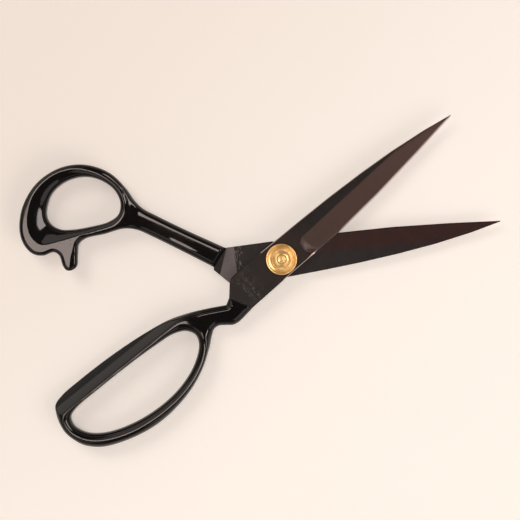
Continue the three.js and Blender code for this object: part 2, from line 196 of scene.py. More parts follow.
# ---- the spur under the thumb bow ----
SPUR_RIDGE = [(-110, 12), (-107.6, 20), (-104.5, 27), (-101, 30.6)]  # its highest line
SPUR_X = (-96, -100)  # x and y over which the spur sets in
SPUR_Y = (31, 27)
SPUR_FALL = 0.22  # slope of its top on the blade's side of that line
SPUR_ROUND = 0.4
SPUR_END = -90  # x forwards of which nothing rests on the finger bow's band
SPUR_CLEARANCE = 0.4  # over the finger bow's band, when closed
SPUR_SEAT_ROUND = 0.5

# ---- the shank from the thumb bow to the blade ----
SHANK = (-76, -68)  # x over which the bow's top passes into the shank's
SHANK_SIDES = (-76, -64)  # and its sides
SHANK_BOTTOM = 1.4
SHANK_TOP = 11.6
SHANK_EDGE = (-27.6, 11)  # a point on its upper edge
SHANK_ACROSS = (0.58, 0.8146)  # from the lower edge to the upper one
SHANK_CROWN = 2.4  # distance of its highest line inside its upper edge
SHANK_FALL = 0.12  # slope of its top away from that line
SHANK_BEND = 2.0  # of the line itself, which is rounded over
SHANK_ROUND = (2.6, 3.4)
SHANK_UNDER_WIDTH = 4
# A low swelling runs along the middle of the shank, and dies away at both ends.
SWELLING_HEIGHT = 0.14
SWELLING_PLACE = 6.4  # inside the highest line
SWELLING_SPREAD = 0.7
SWELLING_START = (-56.5, -53.5)
SWELLING_END = (-36, -50)

# ---- meshing of the castings ----
VOXEL = 0.38  # cell of the grid
CURVE_STEP = 0.35  # spacing of the points along an outline
MARGIN = 1  # of the grid round a casting
NARROWEST = 0.5  # width between an opening and its ridge that the fields count on
PROBE = 0.05  # distance over which a field's slope is measured
LEAST_SLOPE = 0.05  # squared, when a vertex is moved onto the surface
SETTLING_PASSES = 2  # of moving the vertices onto the surface
FOOT_LIFT = 0.1  # of a casting's end slope above the blade it meets
END_ROUND = 0.5  # of the crease where that slope begins

# ---- turned brass: profiles of (radius, height) ----
AXIS = 0.001  # radius of a point on the axis, just off it so that no face is empty
STEM_HOLE = 2.42
CUP_PROFILE = [
    (STEM_HOLE, 0), (6.2, 0), (7.1, 0.25), (7.7, 0.75), (8.05, 1.35), (8.05, 1.72), (7.95, 1.92),
    (7.75, 2.0), (7.5, 1.96), (7.3, 1.8), (6.9, 1.5), (6.3, 1.22), (5.6, 1.05), (5.0, CUP_FLOOR),
    (STEM_HOLE, CUP_FLOOR),
]
NUT_PROFILE = [
    (STEM_HOLE, 0), (5.0, 0), (5.45, 0.15), (5.45, 0.6), (5.3, 1.1), (5.0, 1.6), (4.6, 2.1),
    (4.1, 2.55), (3.6, 2.85), (3.1, 3.05), (2.7, 3.1), (2.5, 3.0), (STEM_HOLE, 2.85),
]
BOLT_PROFILE = [
    (AXIS, 0), (5.4, 0), (6.2, 0.25), (6.6, 0.8), (6.6, HEAD_HEIGHT), (3, HEAD_HEIGHT), (3, 10.4),
    (2.3, 10.7), (2.3, 15.2), (2.2, 15.5), (1.9, 15.72), (1.6, 15.75), (1.3, 15.6), (0.95, 15.5),
    (0.6, 15.55), (0.4, 15.75), (0.2, 15.8), (AXIS, 15.8),
]
TURNED_SEGMENTS = 128
NUT_CORNER_RADIUS = 5.45
NUT_TURN = math.radians(25)
NUT_SOFTENING = 0.9  # of the hexagon's corners
NUT_FLATS_FROM = 3  # radius below which the nut stays round


# ---- small numbers ----
def mix(a, b, t):
    return a + (b - a) * t


def ramp(x, start, end):
    """0 at start, 1 at end, smooth at both."""
    t = np.clip((x - start) / (end - start), 0, 1)
    return t * t * (3 - 2 * t)


def line_at(points, x):
    """The height of a line of points at x, straight between them."""
    return np.interp(x, [p[0] for p in points], [p[1] for p in points])


def smooth_max(a, b, width):
    """The larger of two fields, with the crease between them rounded off over the width."""
    near = np.maximum(width - np.abs(a - b), 0) / width
    return np.maximum(a, b) + near * near * width / 4


# ---- outlines and their distance fields ----
def curve_through(points, closed=False):
    """A centripetal Catmull-Rom curve through points, sampled finely."""
    points = np.array(points, float)
    count = len(points)
    before = points[-1] if closed else 2 * points[0] - points[1]
    after = points[:2] if closed else [2 * points[-1] - points[-2]]
    row = np.vstack([before, points, *after])
    samples = []
    for i in range(count if closed else count - 1):
        p0, p1, p2, p3 = row[i : i + 4]
        t01, t12, t23 = (np.linalg.norm(b - a) ** 0.5 for a, b in ((p0, p1), (p1, p2), (p2, p3)))
        start = t12 * ((p1 - p0) / t01 - (p2 - p0) / (t01 + t12)) + p2 - p1
        end = t12 * ((p3 - p2) / t23 - (p3 - p1) / (t12 + t23)) + p2 - p1
        steps = max(2, math.ceil(np.linalg.norm(p2 - p1) / CURVE_STEP))
        t = np.linspace(0, 1, steps, endpoint=False)[:, None]
        cubic = p1 + t * start + t**2 * (3 * (p2 - p1) - 2 * start - end)
        samples.append(cubic + t**3 * (2 * (p1 - p2) + start + end))
    if not closed:
        samples.append(points[-1:])
    return np.vstack(samples)


def straight_through(points):
    """A line of points joined straight, sampled finely."""
    points = np.array(points, float)
    samples = []
    for a, b in zip(points, points[1:]):
        steps = max(1, math.ceil(np.linalg.norm(b - a) / CURVE_STEP))
        samples.append(a + (b - a) * np.linspace(0, 1, steps, endpoint=False)[:, None])
    return np.vstack([*samples, points[-1:]])


class Outline:
    """A closed line in the plane that can tell how far points are from it: negative inside."""

    def __init__(self, line):
        area = np.sum(line[:, 0] * np.roll(line[:, 1], -1) - line[:, 1] * np.roll(line[:, 0], -1))
        self.line = line if area > 0 else line[::-1]
        self.tree = KDTree(len(line))
        for i, (x, y) in enumerate(self.line):
            self.tree.insert((x, y, 0), i)
        self.tree.balance()

    def distance(self, x, y):
        """Signed distances of the places x, y: the nearer of the two stretches that meet at the
        line's nearest point tells the side."""
        points = np.stack([x.ravel(), y.ravel()], 1)
        find = self.tree.find
        nearest = np.fromiter((find((px, py, 0))[1] for px, py in points), int, len(points))
        found = []
        for first in (nearest - 1, nearest):
            a = self.line[first]
            along = self.line[(first + 1) % len(self.line)] - a
            length = np.linalg.norm(along, axis=1)
            off = points - a
            t = np.clip(np.sum(off * along, 1) / length**2, 0, 1)
            gap = np.linalg.norm(off - t[:, None] * along, axis=1)
            side = (along[:, 1] * off[:, 0] - along[:, 0] * off[:, 1]) / length
            found.append((gap, side))
        (gap0, side0), (gap1, side1) = found
        level = np.abs(gap0 - gap1) < 1e-9
        side = np.where(level, side0 + side1, np.where(gap0 < gap1, side0, side1))
        return np.copysign(np.minimum(gap0, gap1), side).reshape(x.shape)


def bow_plan(outside, end, opening, ridge):
    """A function that tells, for places in the plan, their distances out of the bow's outline, out of
    its opening and out of its ridge, and the width from the opening to the ridge."""
    closing = straight_through([outside[-1], *end, outside[0]])
    outline = Outline(np.vstack([curve_through(outside)[:-1], closing[:-1]]))
    hole = Outline(curve_through(opening, closed=True))
    crest = Outline(curve_through(ridge, closed=True))

    def plan(x, y):
        out = hole.distance(x, y)
        beyond = crest.distance(x, y)
        return outline.distance(x, y), out, beyond, np.maximum(out - beyond, NARROWEST)

    return plan


# ---- castings, as fields that are negative inside the metal ----
def offset(x, y, point, direction):
    """Distance of a place from a point, along a direction in the plan."""
    return (x - point[0]) * direction[0] + (y - point[1]) * direction[1]


def rounded_edge(inset, above, width, height):
    """A side wall and a face joined by a quarter of an ellipse, for a distance past the wall and one
    above the face."""
    across = np.maximum(inset / width + 1, 0)
    up = np.maximum(above / height + 1, 0)
    return (np.hypot(across, up) - 1) * height


def end_at_shoulder(field, x, y, z, shoulder, setback, top, foot):
    """Cuts a casting off along the shoulder, upright to the foot and sloping from there to the top."""
    (ax, ay), (bx, by) = shoulder
    length = math.hypot(bx - ax, by - ay)
    forwards = ((ay - by) / length, (bx - ax) / length)
    if forwards[0] < 0:
        forwards = (-forwards[0], -forwards[1])
    past = offset(x, y, shoulder[0], forwards)
    slant = math.hypot(top - foot, setback)
    slope = (past * (top - foot) + (z - foot) * setback) / slant
    field = smooth_max(field, slope, END_ROUND)
    return np.maximum(field, past)


def band_plane(x, y, z):
    """Height over the finger bow's outer band, which falls away evenly from the crest."""
    beyond = y - line_at(CREST, x)
    crown = BAND_CROWN * np.maximum(beyond, 0) ** 2
    return beyond * math.sin(BAND_SLOPE) + (z - CREST_HEIGHT) * math.cos(BAND_SLOPE) + crown


def falling(distance, slope, round_off):
    """Drop of a surface that leaves a ridge at the slope, rounded off over the first stretch."""
    return slope * (np.hypot(np.maximum(distance, 0), round_off) - round_off)


def finger_field(x, y, z, outside, opening, beyond, width):
    """The finger bow and its arm."""
    arm = ramp(x, *ARM)
    inside_arm = -offset(x, y, ARM_EDGE, ARM_ACROSS)
    bow_drop = falling(beyond - RIDGE_LAND, FINGER_FALL, LAND_ROUND)
    arm_drop = ARM_DROP + falling(inside_arm - ARM_LAND, ARM_FALL, ARM_LAND_ROUND)
    above = z - (FINGER_TOP - mix(bow_drop, arm_drop, arm))
    flank = np.clip(beyond - outside - RIDGE_LAND, *FINGER_OUTER_WIDTHS)
    outer_width = mix(flank, ARM_ROUND[0], arm)
    outer_height = mix(FINGER_EDGE_HEIGHT, ARM_ROUND[1], arm)
    inner_width = np.minimum(width, FINGER_INNER_WIDTH)
    field = rounded_edge(outside, above, outer_width, outer_height)
    field = np.maximum(field, rounded_edge(-opening, above, inner_width, FINGER_EDGE_HEIGHT))
    field = np.maximum(field, rounded_edge(outside, -z, *FINGER_UNDER_OUTER))
    field = np.maximum(field, rounded_edge(-opening, -z, *FINGER_UNDER_INNER))
    field = smooth_max(field, band_plane(x, y, z), BAND_ROUND)
    # The underside steps up to the upper blade's layer.
    step = (z - UPPER_BOTTOM - STEP_SLOPE * (x - STEP_X)) * STEP_SCALE
    field = smooth_max(field, -np.maximum(z - UPPER_BOTTOM, step), STEP_ROUND)
    foot = UPPER_TOP + FOOT_LIFT
    return end_at_shoulder(field, x, y, z, FINGER_SHOULDER, FINGER_SETBACK, FINGER_TOP, foot)


def thumb_top(x, y, opening, beyond, width):
    """Height of the thumb bow's upper surface: a level rim, a dish inside it, and a leaning shank."""
    along = ramp(x, *SHANK)
    rim = THUMB_TOP - rim_drop(x, y, beyond)
    inward = np.clip(1 - opening / width, 0, 1)
    dish = width * (DISH_START * inward + DISH_FALL * inward**DISH_BEND)
    spur_side = x - np.interp(y, [p[1] for p in SPUR_RIDGE], [p[0] for p in SPUR_RIDGE])
    spur = falling(spur_side, SPUR_FALL, SPUR_ROUND) * ramp(y, *SPUR_Y) * ramp(x, *SPUR_X)
    return mix(rim, shank_top(x, y), along) - dish * (1 - along) - spur


def rim_drop(x, y, beyond):
    """How far the thumb bow's rim lies below its highest level, at a distance beyond the mouth."""
    doubled = ramp(x, *DOUBLED_X) * ramp(y, *DOUBLED_Y)
    groove = GROOVE_DEPTH * np.exp(-(((beyond - GROOVE_PLACE) / GROOVE_WIDTH) ** 2)) * doubled
    level = mix(RIDGE_LAND, SECOND_RIDGE, doubled)
    return groove + falling(beyond - level, THUMB_FALL, LAND_ROUND) * ramp(x, *THUMB_FALL_X)


def shank_top(x, y):
    """Height of the shank, which leans away from its highest line and swells a little in the middle."""
    across = offset(x, y, SHANK_EDGE, SHANK_ACROSS) + SHANK_CROWN
    drop = SHANK_FALL * (np.hypot(across, SHANK_BEND) - SHANK_BEND)
    swelling = SWELLING_HEIGHT * np.exp(-(across + SWELLING_PLACE) ** 2 / SWELLING_SPREAD)
    return SHANK_TOP - drop + swelling * ramp(x, *SWELLING_START) * ramp(x, *SWELLING_END)


def thumb_field(x, y, z, outside, opening, beyond, width):
    """The thumb bow with its spur and its shank."""
    shank = ramp(x, *SHANK_SIDES)
    bottom = mix(0, SHANK_BOTTOM, shank)
    above = z - thumb_top(x, y, opening, beyond, width)
    flank = np.clip(beyond - outside - THUMB_OUTER_LANDS * RIDGE_LAND, *THUMB_OUTER_WIDTHS)
    outer_width = mix(flank, SHANK_ROUND[0], shank)
    outer_height = mix(THUMB_OUTER_HEIGHT, SHANK_ROUND[1], shank)
    inner_width = np.clip(width * THUMB_INNER_SHARE, *THUMB_INNER_WIDTHS)
    under_width = mix(THUMB_UNDER_OUTER[0], SHANK_UNDER_WIDTH, shank)
    field = rounded_edge(outside, above, outer_width, outer_height)
    field = np.maximum(field, rounded_edge(outside, bottom - z, under_width, THUMB_UNDER_OUTER[1]))
    field = np.maximum(field, rounded_edge(-opening, above, inner_width, THUMB_INNER_HEIGHT))
    field = np.maximum(field, rounded_edge(-opening, bottom - z, *THUMB_UNDER_INNER))
    # Closed, the spur comes down on the finger bow's band, so its underside follows that slope.
    seat = np.minimum(SPUR_CLEARANCE - band_plane(x, y, z), SPUR_END - x)
    field = smooth_max(field, seat, SPUR_SEAT_ROUND)
    foot = LOWER_TOP + FOOT_LIFT
    return end_at_shoulder(field, x, y, z, THUMB_SHOULDER, THUMB_SETBACK, SHANK_TOP, foot)


def surface_net(values):
    """Vertices, in cells of the grid, and quads of the surface where a grid of values is zero."""
    shape = np.array(values.shape) - 1
    corners = [(i, j, k) for i in (0, 1) for j in (0, 1) for k in (0, 1)]

    def corner(c):
        return values[tuple(slice(o, o + n) for o, n in zip(c, shape))]

    total = np.zeros((*shape, 3))
    crossings = np.zeros(tuple(shape))
    for a in corners:
        for axis in range(3):
            if a[axis]:
                continue
            b = tuple(1 if i == axis else a[i] for i in range(3))
            va, vb = corner(a), corner(b)
            cut = (va < 0) != (vb < 0)
            share = np.where(cut, va / np.where(cut, va - vb, 1), 0)
            for i in range(3):
                total[..., i] += cut * (share if i == axis else a[i])
            crossings += cut
    mixed = crossings > 0
    index = np.full(tuple(shape), -1)
    index[mixed] = np.arange(mixed.sum())
    vertices = total[mixed] / crossings[mixed][:, None] + np.argwhere(mixed)
    quads = []
    for axis in range(3):
        u, v = (axis + 1) % 3, (axis + 2) % 3
        low = np.moveaxis(values, axis, 0)
        crossing = np.moveaxis((low[:-1] < 0) != (low[1:] < 0), 0, axis)
        outward = np.moveaxis(low[:-1] < 0, 0, axis)
        at = np.argwhere(crossing)
        rising = outward[crossing]
        inside = (at[:, u] > 0) & (at[:, v] > 0) & (at[:, u] < shape[u]) & (at[:, v] < shape[v])
        at, rising = at[inside], rising[inside]
        unit = np.eye(3, dtype=int)
        around = [at - unit[u] - unit[v], at - unit[v], at, at - unit[u]]
        quad = np.stack([index[tuple(cell.T)] for cell in around], 1)
        quad[~rising] = quad[~rising][:, ::-1]
        quads.append(quad)
    return vertices, np.vstack(quads)


def casting(field, plan, low, high):
    """Vertices and quads of a casting, given its field and what the field needs to know of the plan:
    the grid's surface net, with its vertices then moved onto the surface."""
    axes = [np.arange(a - MARGIN, b + MARGIN + VOXEL, VOXEL) for a, b in zip(low, high)]
    plan_x, plan_y = np.meshgrid(axes[0], axes[1], indexing="ij")
    known = [fact[..., None] for fact in plan(plan_x, plan_y)]
    values = field(plan_x[..., None], plan_y[..., None], axes[2][None, None, :], *known)
    vertices, quads = surface_net(values)
    vertices = vertices * VOXEL + [axis[0] for axis in axes]

    def value(points, lift=0, known=None):
        x, y, z = points.T
        return field(x, y, z + lift, *(known or plan(x, y)))

    for _ in range(SETTLING_PASSES):
        known = plan(*vertices.T[:2])
        here = value(vertices, known=known)
        slope = [value(vertices + s) - value(vertices - s) for s in np.eye(3)[:2] * PROBE]
        slope.append(value(vertices, PROBE, known) - value(vertices, -PROBE, known))
        slope = np.stack(slope, 1) / (2 * PROBE)
        move = -here[:, None] * slope / np.maximum(np.sum(slope**2, 1), LEAST_SLOPE)[:, None]
        length = np.linalg.norm(move, axis=1)
        vertices = vertices + move * np.minimum(1, VOXEL / np.maximum(length, 1e-9))[:, None]
    return vertices, quads


# ---- blades ----
def ring_places(rear):
    """The x of each ring of a blade, from its rear corner to its tip."""
    corners = [x for x, _ in rear["spine"] + rear["edge"]]
    last, count = REAR_RINGS
    places = {x for x in corners if x > corners[0]}
    places.update(np.linspace(corners[0] + REAR_GAP, last, count))
    for run in RINGS:
        places.update(np.linspace(*run))
    return sorted(places)


def blade_rings(rear):
    """Rings of points round the blade, flat face at z = 0. Each ring starts at the edge's corner on
    the flat face, and goes up the spine and back down over the bevel."""
    spine_line = rear["spine"] + SPINE
    edge_line = rear["edge"] + EDGE
    rings = []
    for x in ring_places(rear):
        spine = line_at(spine_line, x)
        edge = line_at(edge_line, x)
        thinning = np.clip((x - TAPER_FROM) / (REACH - TAPER_FROM), 0, 1)
        top = mix(BLADE_THICKNESS, TIP_THICKNESS, thinning)
        bevel = min(line_at(BEVEL_LINE, x), mix(edge, spine, BEVEL_SHARE))
        corner = min(BREAK, (spine - edge) * BREAK_SHARE)
        honed_width = min(HONED_WIDTH, (bevel - edge) * HONED_SHARE)
        facet = mix(corner, honed_width, ramp(x, *HONED_START))
        across = np.append(np.linspace(bevel, edge + facet, BEVEL_POINTS), edge)
        fall = np.append(np.linspace(top, line_at(HONED_TOP, x), BEVEL_POINTS), EDGE_LAND)
        start = line_at(PLUNGE, across - edge)
        height = mix(top, fall, ramp(x, start, start + PLUNGE_LENGTH))
        height[-1] = min(height[-1], top - corner)
        ring = [(edge + corner, 0), (spine - corner, 0), (spine, corner), (spine, top - corner)]
        ring += [(spine - corner, top), *zip(across, height), (edge, min(corner, EDGE_LAND / 2))]
        rings.append([(x, y, z) for y, z in ring])
    return rings


def loft(rings):
    """Vertices and faces of a closed body through rings with equal numbers of points."""
    size = len(rings[0])
    faces = []
    for r in range(len(rings) - 1):
        for i in range(size):
            a, b = r * size + i, r * size + (i + 1) % size
            faces.append((a, b, b + size, a + size))
    faces.append(tuple(reversed(range(size))))
    faces.append(tuple(range((len(rings) - 1) * size, len(rings) * size)))
    return [p for ring in rings for p in ring], faces


# ---- meshes in the row frame ----
def make_object(name, vertices, faces, turn=0, flip=False, height=0):
    """A mesh from millimetres in a half's frame, turned over about X if asked, and turned about Z."""
    points = np.array(vertices, float)
    if flip:
        points = points * [1, -1, -1]
    points[:, 2] += height
    c, s = math.cos(turn), math.sin(turn)
    points = points @ np.array([[c, s, 0], [-s, c, 0], [0, 0, 1]]) * MM
    mesh = bpy.data.meshes.new(name)
    mesh.from_pydata(points.tolist(), [], [tuple(int(i) for i in f) for f in faces])
    made = bpy.data.objects.new(name, mesh)
    bpy.context.scene.collection.objects.link(made)
    mesh.shade_smooth()
    mark_place(made, turn, flip, height)
    return made


def mark_place(made, turn, flip, height):
    """Gives each vertex its half's own millimetres, which the materials' patterns follow."""
    mesh = made.data
    points = np.empty(len(mesh.vertices) * 3)
    mesh.vertices.foreach_get("co", points)
    c, s = math.cos(turn), math.sin(turn)
    points = points.reshape(-1, 3) / MM @ np.array([[c, -s, 0], [s, c, 0], [0, 0, 1]])
    points[:, 2] -= height
    if flip:
        points = points * [1, -1, -1]
    if "place" in mesh.attributes:
        mesh.attributes.remove(mesh.attributes["place"])
    place = mesh.attributes.new("place", "FLOAT_VECTOR", "POINT")
    place.data.foreach_set("vector", points.astype(np.float32).ravel())


def apply_modifiers(made):
    """Puts the result of the object's modifiers in place of its mesh."""
    evaluated = made.evaluated_get(bpy.context.evaluated_depsgraph_get())
    mesh = bpy.data.meshes.new_from_object(evaluated)
    made.modifiers.clear()
    made.data = mesh


def bore(made):
    """Cuts the pivot bore through a blade."""
    angles = np.linspace(0, math.tau, BORE_SEGMENTS + 1)[:-1]
    circle = [(BORE_RADIUS * math.cos(a), BORE_RADIUS * math.sin(a)) for a in angles]
    cutter = make_object("bore_cutter", *loft([[(x, y, z) for x, y in circle] for z in BORE_SPAN]))
    cut = made.modifiers.new("bore", "BOOLEAN")
    cut.operation = "DIFFERENCE"
    cut.solver = "EXACT"
    cut.object = cutter
    apply_modifiers(made)
    bpy.data.objects.remove(cutter)


def crisp(made, angle):
    """Sharp shading over creases above the angle, and flat faces shaded flat."""
    made.data.set_sharp_from_angle(angle=math.radians(angle))
    weigh = made.modifiers.new("weigh", "WEIGHTED_NORMAL")
    weigh.keep_sharp = True
    apply_modifiers(made)


def make_blade(name, rear, turn, flip, height, steel, worn):
    """A blade in its steel, with the corners along its spine and its cutting edge worn bright."""
    rings = blade_rings(rear)
    vertices, faces = loft(rings)
    made = make_object(name, vertices, faces, turn, flip, height)
    made.data.materials.append(steel)
    made.data.materials.append(worn)
    # The strips of a ring are numbered by the point they start at.
    spine_corner = 3
    edge_facet = len(rings[0]) - 3
    for polygon in made.data.polygons:
        along = vertices[polygon.vertices[0]][0]
        if polygon.index % len(rings[0]) in (spine_corner, edge_facet) and along > WORN_FROM:
            polygon.material_index = 1
    bore(made)
    crisp(made, BLADE_CREASE)
    mark_place(made, turn, flip, height)
    return made


def lathe(profile, radius_at=None):
    """Vertices and faces turned from a closed profile of (radius, height) about the pivot axis."""
    segments = TURNED_SEGMENTS
    rings = []
    for k in range(segments):
        angle = math.tau * k / segments
        ring = []
        for r, z in profile:
            if radius_at:
                r = radius_at(r, z, angle)
            ring.append((r * math.cos(angle), r * math.sin(angle), z))
        rings.append(ring)
    size = len(profile)
    faces = []
    for k in range(segments):
        for i in range(size):
            j = (i + 1) % size
            a, b = k * size, (k + 1) % segments * size
            faces.append((a + i, b + i, b + j, a + j))
    return [p for ring in rings for p in ring], faces


def hexed(r, z, angle):
    """A nut's radius, held inside a hexagon with softened corners."""
    if r <= NUT_FLATS_FROM:
        return r
    sixth = math.tau / 6
    turned = (angle - NUT_TURN) % sixth - sixth / 2
    flat = NUT_CORNER_RADIUS * math.cos(sixth / 2) / math.cos(turned)
    return -smooth_max(-r, -flat, NUT_SOFTENING)


def make_bow(name, field, plan, box, turn, look):
    """A bow cast to its field, inside a box given by its low corner and its high one."""
    made = make_object(name, *casting(field, plan, *box), turn)
    made.data.materials.append(look)
    return made


def make_turned(name, look, profile, height=0, radius_at=None):
    """A turned piece standing at a height on the pivot axis."""
    made = make_object(name, *lathe(profile, radius_at), height=height)
    made.data.materials.append(look)
    return made


# ---- materials: colours are linear red, green and blue, and lengths millimetres ----
LACQUER_TONES = ((0.0030, 0.0024, 0.0022), (0.0062, 0.0048, 0.0042))
BRASS_TONES = ((0.82, 0.58, 0.26), (0.71, 0.47, 0.19))
HONED_TONES = ((0.40, 0.33, 0.30), (0.55, 0.47, 0.43))
PAPER_TONES = ((0.78, 0.722, 0.665), (0.795, 0.737, 0.68))
# painted shade: the colour that the paper darkens to on one side
PAPER_SHADE = (0.71, 0.632, 0.572)
PAPER_SHADE_WAY = (0.48, -1.33)  # the way in which the painted shade on the paper deepens, along x and y
PAPER_SHADE_SPAN = (-300, 120)  # distances along it over which the painted shade fades out
PAPER_GLOW = 0.6  # painted light: the paper glows in its own colour, which keeps the shadows faint

BLACKENED = 0.2  # specular level of the oxide
UPPER_BROWN = (0.016, 0.006, 0.004)
UPPER_BLACK = (0.007, 0.006, 0.005)
UPPER_BLACK_X = (8, 22)  # over which the brown passes into black
UPPER_HEEL = (0.008, 0.006, 0.005)
UPPER_HEEL_X = (-16, -4)
UPPER_MOTTLE = (0.028, 0.016, 0.012)
BEVEL_REAR = (0.072, 0.044, 0.035)
BEVEL_FRONT = (0.080, 0.041, 0.033)
BEVEL_FRONT_X = (10, 50)
BEVEL_MOTTLE = (0.090, 0.050, 0.041)
MOTTLE_SHARE = 0.3
BEVEL_START_X = (11, 13)
BEVEL_SUNK = (0.16, 0.04)  # depths below the flat face between which the bevel's colour sets in
SCUFF = (0.13, 0.115, 0.11)
SCUFF_COLUMNS = ((-25.2, -23.2), (-21.8, -20.2))  # x of two scuffed stripes on the upper heel
SCUFF_SPAN = (-8, 7)  # and their y
SCUFF_SOFTNESS = (0.7, 1.5)  # of their edges, along x and y
HAZE = (0.070, 0.060, 0.058)
HAZE_SPAN = (-27, -16)  # x of the faint bloom round the scuffs
HAZE_SHARE = 0.35

LOWER_BROWNS = ((0.025, 0.0042, 0.003), (0.035, 0.007, 0.0045))
LOWER_GREYS = ((0.012, 0.009, 0.0095), (0.017, 0.013, 0.013))
LOWER_GREY_Y = (-6, 0.5)  # over which the browns pass into the greys, at the pivot
LOWER_GREY_LEAN = -0.1  # of that line along the blade
LOWER_HEELS = ((0.010, 0.007, 0.006), (0.020, 0.014, 0.013))
LOWER_HEEL_X = (-12, 6)
UNDER_CASTING = (0.004, 0.003, 0.003)
# painted reflection: the light-grey patch on the lower blade's heel; the scratches across it are the
# blade's own
FACET_SHEEN = (0.175, 0.148, 0.152)
SHEEN_START = (-32.1, -31.5)  # of the painted reflection's patch, along a line that slants with y
SHEEN_SLANT = 0.43
SHEEN_END = (-21.4, -20.8)
SHEEN_RAGGED = 5  # how far its end wanders
STROKE = (0.24, 0.21, 0.20)
STROKE_SPAN = (-24.5, -19.5)


class Look:
    """A Principled material whose patterns follow the piece's own millimetres."""

    def __init__(self, name, metallic=0, ior=1.5):
        self.material = bpy.data.materials.new(name)
        self.material.use_nodes = True
        self.tree = self.material.node_tree
        self.shader = self.tree.nodes["Principled BSDF"]
        self.shader.inputs["Metallic"].default_value = metallic
        self.shader.inputs["IOR"].default_value = ior
        self.place = self.tree.nodes.new("ShaderNodeAttribute")
        self.place.attribute_name = "place"
        self.axes = self.tree.nodes.new("ShaderNodeSeparateXYZ")
        self.link(self.place.outputs["Vector"], self.axes.inputs[0])

    def link(self, source, target):
        self.tree.links.new(source, target)

    def stretched(self, scale):
        """The place in millimetres, scaled along each axis."""
        node = self.tree.nodes.new("ShaderNodeMapping")
        node.inputs["Scale"].default_value = scale
        self.link(self.place.outputs["Vector"], node.inputs["Vector"])
        return node.outputs["Vector"]

    def noise(self, wavelength, detail=2, stretch=(1, 1, 1), rough=0.5):
        """Noise from 0 to 1 whose features are about the wavelength across, in millimetres."""
        node = self.tree.nodes.new("ShaderNodeTexNoise")
        node.inputs["Scale"].default_value = 1 / wavelength
        node.inputs["Detail"].default_value = detail
        node.inputs["Roughness"].default_value = rough
        self.link(self.stretched(stretch), node.inputs["Vector"])
        return node.outputs["Fac"]

    def spread(self, value, low, high, to_low=0.0, to_high=1.0):
        """Value from low to high turned smoothly into to_low to to_high, and held there."""
        node = self.tree.nodes.new("ShaderNodeMapRange")
        node.interpolation_type = "SMOOTHSTEP"
        self.link(value, node.inputs["Value"])
        ends = {"From Min": low, "From Max": high, "To Min": to_low, "To Max": to_high}
        for name, number in ends.items():
            node.inputs[name].default_value = number
        return node.outputs["Result"]

    def maths(self, operation, a, b):
        node = self.tree.nodes.new("ShaderNodeMath")
        node.operation = operation
        for socket, value in zip(node.inputs, (a, b)):
            if isinstance(value, (int, float)):
                socket.default_value = value
            else:
                self.link(value, socket)
        return node.outputs[0]

    def product(self, a, b):
        return self.maths("MULTIPLY", a, b)

    def total(self, a, b):
        return self.maths("ADD", a, b)

    def window(self, value, low, high, soft):
        """1 where value lies between low and high, fading out over soft."""
        rise = self.spread(value, low - soft, low + soft)
        fall = self.spread(value, high - soft, high + soft, 1, 0)
        return self.product(rise, fall)

    def blend(self, share, a, b):
        """A colour between two colours, each three numbers or a socket."""
        node = self.tree.nodes.new("ShaderNodeMix")
        node.data_type = "RGBA"
        colour_sockets = node.inputs[6:8]
        self.link(share, node.inputs[0])
        for socket, value in zip(colour_sockets, (a, b)):
            if isinstance(value, tuple):
                socket.default_value = (*value, 1)
            else:
                self.link(value, socket)
        return node.outputs[2]

    def colour(self, value):
        self.link(value, self.shader.inputs["Base Color"])

    def roughness(self, value):
        self.link(value, self.shader.inputs["Roughness"])

    def bump(self, *layers):
        """Raises the surface by each (pattern, height in millimetres) in turn."""
        before = None
        for pattern, height in layers:
            node = self.tree.nodes.new("ShaderNodeBump")
            node.inputs["Distance"].default_value = height * MM
            self.link(pattern, node.inputs["Height"])
            if before:
                self.link(before, node.inputs["Normal"])
            before = node.outputs["Normal"]
        self.link(before, self.shader.inputs["Normal"])


def lacquer_look():
    """Thick black lacquer on a casting: deep gloss, orange peel, faint smears and dust nibs."""
    look = Look("black_lacquer", ior=1.38)
    look.colour(look.blend(look.noise(9, detail=3), *LACQUER_TONES))
    smear = look.spread(look.noise(14, detail=4, rough=0.6), 0.35, 0.75, 0.05, 0.11)
    nibs = look.spread(look.noise(0.9, detail=1), 0.72, 0.8, 0, 0.12)
    look.roughness(look.total(smear, nibs))
    raised_nibs = look.spread(look.noise(0.9, detail=1), 0.7, 0.82)
    look.bump((look.noise(3.2, detail=1), 0.006), (raised_nibs, 0.01))
    return look.material


def black_steel_look(name):
    """Blackened steel with fine grinding lines, and its mottling, ready for its colours."""
    look = Look(name)
    look.shader.inputs["Specular IOR Level"].default_value = BLACKENED
    mottle = look.spread(look.noise(6, detail=4, rough=0.6), 0.3, 0.7)
    lines = look.noise(0.3, detail=2, stretch=(0.06, 1, 1))
    look.roughness(look.spread(lines, 0.2, 0.8, 0.3, 0.42))
    look.bump((lines, 0.002), (look.noise(2.5, detail=2), 0.003))
    return look, mottle


def ground_share(look, x, z):
    """1 on the upper blade's bevel, where the surface lies below the tapering flat face."""
    taper = (BLADE_THICKNESS - TIP_THICKNESS) / (REACH - TAPER_FROM)
    flat_face = BLADE_THICKNESS + TAPER_FROM * taper
    sunk, barely = BEVEL_SUNK
    level = look.total(look.product(x, taper), z)
    sunken = look.spread(level, flat_face - sunk, flat_face - barely, 1, 0)
    return look.product(sunken, look.spread(x, *BEVEL_START_X))


def scuff_share(look, x, y):
    """Two short stripes of worn specks across the upper blade's heel."""
    soft_x, soft_y = SCUFF_SOFTNESS
    first, second = (look.window(x, *column, soft_x) for column in SCUFF_COLUMNS)
    patch = look.product(look.maths("MAXIMUM", first, second), look.window(y, *SCUFF_SPAN, soft_y))
    return look.product(patch, look.spread(look.noise(1.4, detail=3, rough=0.6), 0.45, 0.8))


